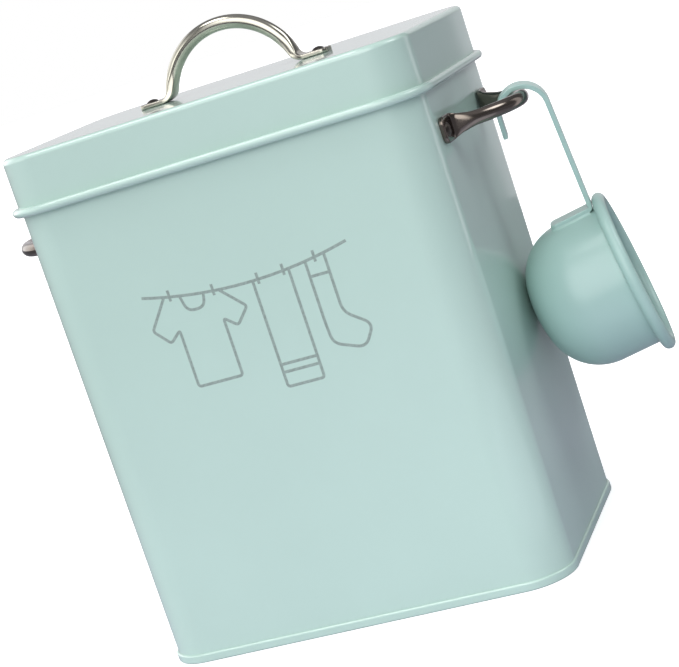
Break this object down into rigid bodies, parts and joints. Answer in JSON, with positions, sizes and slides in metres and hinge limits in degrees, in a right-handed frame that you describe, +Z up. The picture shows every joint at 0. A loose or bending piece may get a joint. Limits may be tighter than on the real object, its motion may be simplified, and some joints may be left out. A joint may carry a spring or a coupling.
{
  "type": "laundry powder storage tin",
  "caption": "Rectangular painted steel tin with rounded corners, lift-off lid, bow handles on lid and sides, and a round scoop hooked over a side handle.",
  "frame": {"origin": "centre of the foot, in the plane that it stands on", "axes": "+Z up from the foot; +X towards the handle that carries the scoop; the front faces -Y"},
  "size_m": [0.2783, 0.1452, 0.269],
  "materials": {
    "tin_paint": "satin pale grey-green paint",
    "lid_paint": "satin pale grey-green paint",
    "scoop_paint": "satin pale grey-green paint",
    "handle_plating": "satin nickel plate",
    "rivet_metal": "darker plated steel"
  },
  "bodies": {
    "tin": {"body_wall": "tin_paint", "base_panel": "tin_paint", "right_handle": "handle_plating", "left_handle": "handle_plating", "right_rivet_first": "rivet_metal", "right_rivet_second": "rivet_metal", "left_rivet_first": "rivet_metal", "left_rivet_second": "rivet_metal", "scoop_bowl": "scoop_paint", "scoop_handle": "scoop_paint"},
    "lid": {"lid": "lid_paint", "lid_handle": "handle_plating", "lid_rivet_first": "rivet_metal", "lid_rivet_second": "rivet_metal"}
  },
  "joints": [
    {"name": "lid_lift", "type": "slide", "parent": "tin", "child": "lid", "axis": [0, 0, 1], "range_m": [0, 0.07]}
  ]
}
